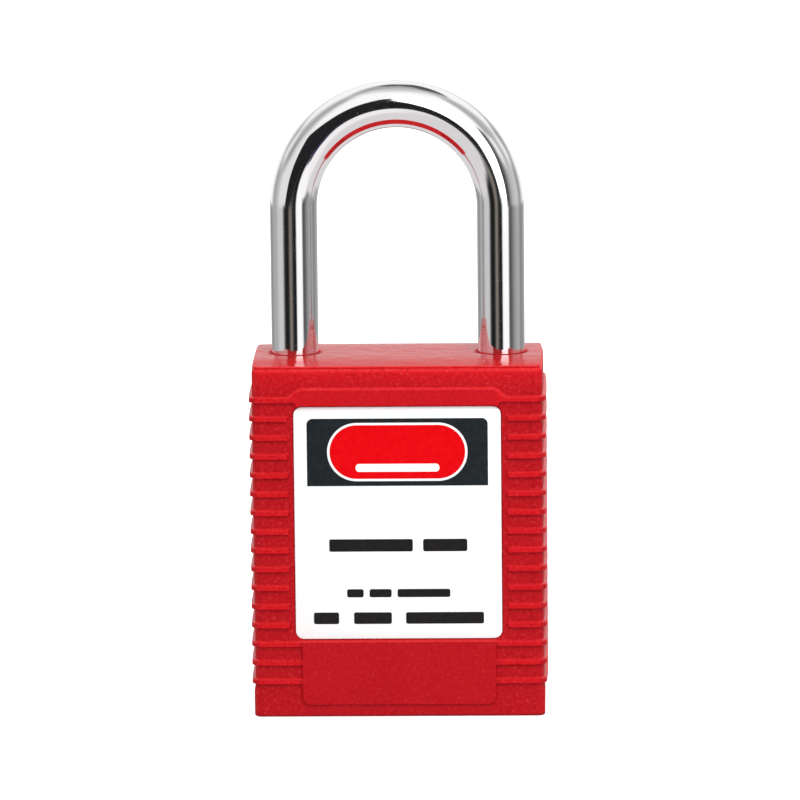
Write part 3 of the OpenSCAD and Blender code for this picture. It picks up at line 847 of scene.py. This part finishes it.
def studio():
    # pale floor, large enough to fill the frame
    s = 6.0
    me = bpy.data.meshes.new("floor")
    z = -0.00004
    me.from_pydata([(-s, -s, z), (s, -s, z), (s, s, z), (-s, s, z)], [], [(0, 1, 2, 3)])
    floor = bpy.data.objects.new("floor", me)
    scene.collection.objects.link(floor)
    n = Net("pale_floor")
    c = n.mix(n.ramp(n.noise(6.0, 2.0), 0.3, 0.7), (0.90, 0.90, 0.90, 1), (0.92, 0.92, 0.92, 1))
    m = n.set(color=c, rough=0.9, spec=0.0)
    n.bsdf.inputs["Emission Color"].default_value = (1, 1, 1, 1)
    n.bsdf.inputs["Emission Strength"].default_value = 0.55
    me.materials.append(m)
    floor.visible_glossy = False
    floor.visible_diffuse = False

    # light tent round the object: what the plating and the gloss reflect.
    # Directions are azimuth from the front (-Y), positive towards +X, and elevation, in degrees;
    # brightness is on the 8-bit display scale.
    R = 320.0
    na, ne = 720, 240
    az, el = np.meshgrid(-180 + 360 * np.arange(na) / na, -90 + 180 * np.arange(ne + 1) / ne)
    lerp = np.interp

    def ease(t):
        t = np.clip(t, 0, 1)
        return t * t * (3 - 2 * t)

    def card(v, mask, shade):
        """Lays a card of one colour over the tent where mask is 1."""
        return v * (1 - mask[..., None]) + np.array(shade, float) * mask[..., None]

    def inside(x, lo_, hi_, soft):
        return ease((x - lo_) / soft + 0.5) * ease((hi_ - x) / soft + 0.5)

    # tent panels: azimuth, then brightness of the low, middle and high tier
    panels = [(-180, 215, 238, 246), (-150, 240, 215, 246), (-135, 250, 205, 246), (-125, 230, 170, 240),
              (-115, 180, 200, 236), (-105, 160, 232, 212), (-95, 175, 210, 185), (-85, 186, 156, 165),
              (-75, 212, 156, 168), (-65, 222, 205, 188), (-52, 222, 225, 235), (-40, 222, 240, 250),
              (35, 250, 250, 250), (36, 70, 75, 250), (45.5, 72, 78, 250), (49, 98, 105, 250), (53, 120, 140, 245),
              (57, 142, 190, 230), (61, 160, 225, 195), (65, 172, 245, 182), (75, 188, 205, 170), (85, 193, 172, 176),
              (95, 198, 226, 190), (105, 158, 240, 220), (115, 155, 190, 245), (125, 192, 148, 245),
              (135, 235, 180, 244), (150, 244, 200, 246), (180, 215, 238, 246)]
    pa, p1, p2, p3 = (np.array(c, float) for c in zip(*panels))
    # strip of room at the height of the horizon
    strip = [(-180, 188), (-149, 178), (-140, 145), (-130, 138), (-112, 168), (-97, 165), (-83, 186), (-75, 197),
             (-59, 196), (-54, 178), (-49.5, 110), (-45, 50), (-39, 30), (-32, 26), (-28, 42), (-24, 76), (-19, 118),
             (-14, 118), (-9, 90), (-5, 50), (0, 32), (6, 20), (8, 35), (10.5, 120), (13, 225), (16, 250), (39, 252),
             (41, 225), (44.5, 130), (48, 82), (52, 85), (62, 114), (66, 135), (81, 158), (92, 168), (104, 160),
             (110, 134), (119, 136), (130, 148), (155, 172), (180, 188)]
    sa, sv = (np.array(c, float) for c in zip(*strip))
    t1, t2, t3, t4 = (ease((el - e0) / w_) for e0, w_ in ((4.2, 2.4), (20.0, 11.0), (37.5, 6.0), (64.0, 10.0)))
    g = lerp(az, sa, sv)
    for t_, lv in ((t1, p1), (t2, p2), (t3, p3)):
        g = g * (1 - t_) + lerp(az, pa, lv) * t_
    front = ease((100 - np.abs(az)) / 45)
    zenith = lerp(el, [68, 74, 80, 90], [245, 222, 204, 180]) * front + lerp(el, [66, 76, 90], [190, 165, 170]) * (1 - front)
    g = g * (1 - t4) + zenith * t4
    glow = np.repeat(g[..., None], 3, axis=2)
    # warm wall in front, left of the middle
    warm = inside(az, -25, -11, 3.0) * inside(el, -2.5, 4.5, 1.5)
    glow *= 1 + warm[..., None] * np.array([0.05, -0.02, -0.11])
    # black flag, front left, with a slanting right edge
    fl = lerp(el, [5, 6, 10, 16, 22, 28, 33, 35], [-41, -41, -37.5, -37.5, -39, -42, -45, -45])
    fr = lerp(el, [4, 6, 8, 10, 13, 16, 19, 22, 25, 28, 31, 34, 43], [3.5, 3.5, 5.5, 7, 8, 6, 4, 2.5, 1.5, 0, -1, -2.5, -3])
    ft = lerp(az, [-45, -28, -20, -12, -8, -3], [34.8, 35.5, 38, 40, 42.5, 42.5])
    glow = card(glow, inside(az, fl, fr, 1.6) * inside(el, 4.6, ft, 1.6), (32, 31, 33))
    # white softbox, front right, from the flag to the grey card
    sr = lerp(el, [6, 8, 10, 16, 19, 22, 25, 34, 37, 40], [37, 36.5, 35.5, 35.5, 37.5, 38.5, 40, 41, 42, 43])
    box = inside(az, fr, sr, 1.6) * inside(el, 5.0, 60, 2.0)
    glow = card(glow, box, (252, 252, 252))
    # floor sheet below the horizon, nearer and brighter in front
    start = lerp(az, [-180, -155, -115, -100, -62, -56, -20, -12, 58, 64, 90, 100, 135, 180],
                 [-1.6, -4, -5, -1.6, -1.6, -4.2, -3.4, -1.6, -1.6, -6, -5, -3, -4, -1.6])
    fade = lerp(az, [-180, -60, -56, -36, -32, -17, -12, 180], [4, 4, 8, 8, 6, 5, 4, 4])
    low = ease((start - el) / fade)
    bright = 214 + 26 * inside(az, -5, 55, 12.0) * ease((el + 34) / 14)
    sheet = bright[..., None] * np.array([1.0, 0.985, 0.99])
    glow = glow * (1 - low[..., None]) + sheet * low[..., None]
    glow = card(glow, inside(az, 20, 52, 4.0) * inside(el, -12, -1.8, 2.0), (246, 246, 246))
    glow = card(glow, inside(az, 112, 132, 8.0) * inside(el, -10, -2, 3.0), (176, 174, 176))
    # small dark object on the sheet, in front
    mid_ = 7.5 + (-3.0 - el) * 1.45
    glow = card(glow, inside(az, mid_ - 6.0, mid_ + 4.0, 2.0) * inside(el, -9.5, -2.2, 1.2), (45, 42, 68))
    # dark cards hung above, behind the object
    glow = card(glow, inside(np.abs(az), 150, 181, 10.0) * inside(el, 72.5, 81.5, 2.0), (96, 88, 84))
    glow = card(glow, inside(az, 110, 168, 14.0) * inside(el, 67, 80, 4.0), (88, 82, 80))
    # dark edge of the table, straight behind
    glow = card(glow, inside(180 - np.abs(az), -20, 13, 6.0) * inside(el, -24, -4.5, 4.0), (118, 82, 74))
    ra, rg = np.radians(az), np.radians(el)
    verts = np.stack([R * np.sin(ra) * np.cos(rg), -R * np.cos(ra) * np.cos(rg), R * np.sin(rg)], -1).reshape(-1, 3)
    light = np.clip(glow.reshape(-1, 3), 0, 255)
    faces = []
    for j in range(ne):
        for i in range(na):
            k = (i + 1) % na
            faces.append((j * na + i, j * na + k, (j + 1) * na + k, (j + 1) * na + i))
    tent = make("light_tent", verts.tolist(), faces)
    lin = np.where(light < 10.3, light / 255 / 12.92, ((light / 255 + 0.055) / 1.055) ** 2.4)
    col = np.ones((len(light), 4))
    col[:, :3] = lin * (1 + 1.5 * (box.reshape(-1, 1) > 0.98))
    att = tent.data.color_attributes.new("glow", "FLOAT_COLOR", "POINT")
    att.data.foreach_set("color", col.ravel().astype(np.float32))
    mt = bpy.data.materials.new("tent_glow")
    mt.use_nodes = True
    nt = mt.node_tree
    nt.nodes.clear()
    out = nt.nodes.new("ShaderNodeOutputMaterial")
    em = nt.nodes.new("ShaderNodeEmission")
    at = nt.nodes.new("ShaderNodeAttribute")
    at.attribute_name = "glow"
    nt.links.new(at.outputs["Color"], em.inputs["Color"])
    em.inputs["Strength"].default_value = 1 / 0.83
    nt.links.new(em.outputs[0], out.inputs[0])
    mt.cycles.emission_sampling = "NONE"
    tent.data.materials.append(mt)
    tent.visible_camera = False
    tent.visible_diffuse = False
    tent.visible_shadow = False
    tent.visible_transmission = False
    tent.visible_volume_scatter = False

    # soft room light
    w = bpy.data.worlds.new("studio")
    scene.world = w
    w.use_nodes = True
    nt = w.node_tree
    nt.nodes.clear()
    out = nt.nodes.new("ShaderNodeOutputWorld")
    bg = nt.nodes.new("ShaderNodeBackground")
    tc = nt.nodes.new("ShaderNodeTexCoord")
    sep = nt.nodes.new("ShaderNodeSeparateXYZ")
    mr = nt.nodes.new("ShaderNodeMapRange")
    mr.inputs["From Min"].default_value = -0.30
    mr.inputs["From Max"].default_value = -0.06
    mr.inputs["To Min"].default_value = 0.80
    mr.inputs["To Max"].default_value = 1.0
    nt.links.new(tc.outputs["Generated"], sep.inputs[0])
    nt.links.new(sep.outputs["Z"], mr.inputs["Value"])
    nt.links.new(mr.outputs[0], bg.inputs["Strength"])
    bg.inputs["Color"].default_value = (1, 1, 1, 1)
    nt.links.new(bg.outputs[0], out.inputs[0])

    def softbox(name, place, aim, size, watts):
        d = bpy.data.lights.new(name, "AREA")
        d.shape = "RECTANGLE"
        d.size, d.size_y = size
        d.energy = watts
        o = bpy.data.objects.new(name, d)
        scene.collection.objects.link(o)
        o.location = place
        o.rotation_mode = "QUATERNION"
        o.rotation_quaternion = (Vector(aim) - Vector(place)).to_track_quat("-Z", "Y")
        o.visible_glossy = False
        return o

    softbox("key", (0.11, -0.24, 0.28), (0, 0, 0.035), (0.16, 0.16), 0.62)
    softbox("top", (0.0, 0.05, 0.45), (0, 0, 0.045), (0.3, 0.3), 0.5)

    # camera at the viewing angle
    cam = bpy.data.cameras.new("camera")
    o = bpy.data.objects.new("camera", cam)
    scene.collection.objects.link(o)
    az, el, roll = math.radians(1.515), math.radians(9.451), math.radians(0.579)
    tgt = Vector((0, 0, 0.040))
    back = Vector((math.sin(az) * math.cos(el), -math.cos(az) * math.cos(el), math.sin(el)))
    right = (-back).cross(Vector((0, 0, 1))).normalized()
    up = right.cross(-back).normalized()
    r2 = right * math.cos(roll) - up * math.sin(roll)
    u2 = right * math.sin(roll) + up * math.cos(roll)
    rot = Matrix((r2, u2, back)).transposed()
    o.rotation_mode = "QUATERNION"
    o.rotation_quaternion = rot.to_quaternion()
    o.location = tgt + back * 0.8
    cam.sensor_width = 36.0
    cam.lens = 36.0 * 7.8308
    cam.shift_x = (400 - 398.7) / 800
    cam.shift_y = -(400 - 393.93) / 800
    cam.clip_start, cam.clip_end = 0.05, 50.0
    scene.camera = o
    scene.view_settings.view_transform = "Standard"
    scene.view_settings.look = "None"
    scene.view_settings.exposure = 0.0
    scene.view_settings.gamma = 1.0


studio()
